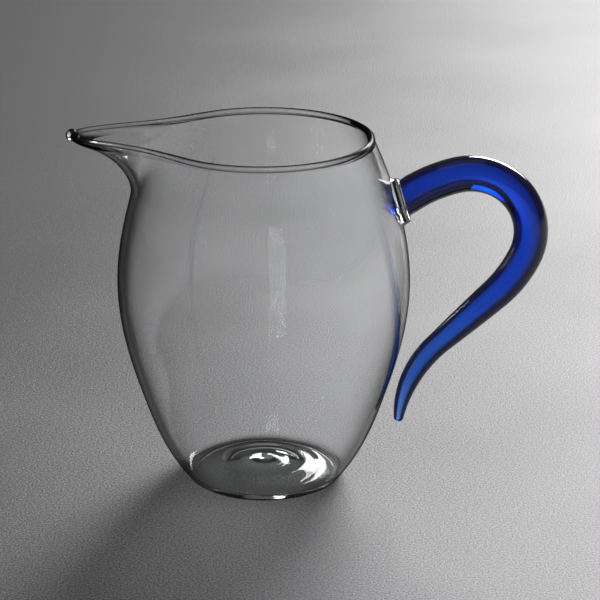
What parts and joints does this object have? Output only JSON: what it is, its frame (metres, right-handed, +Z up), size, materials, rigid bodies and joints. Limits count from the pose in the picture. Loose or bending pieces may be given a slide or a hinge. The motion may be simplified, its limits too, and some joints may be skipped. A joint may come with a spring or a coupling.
{
  "type": "tea fairness pitcher",
  "caption": "Small clear glass tea fairness pitcher with a blown bulb, a pulled spout and a blue glass rod handle.",
  "frame": {"origin": "centre of the foot ring, on the surface that the pitcher stands on", "axes": "+Z up along the bulb's axis, +X towards the handle, so the spout points to -X"},
  "size_m": [0.1302, 0.08, 0.0994],
  "materials": {
    "clear_glass": "clear fire-polished borosilicate glass",
    "blue_glass": "deep blue transparent glass, fire-polished"
  },
  "bodies": {
    "root": {"glass_body": "clear_glass", "blue_handle": "blue_glass"}
  },
  "joints": []
}
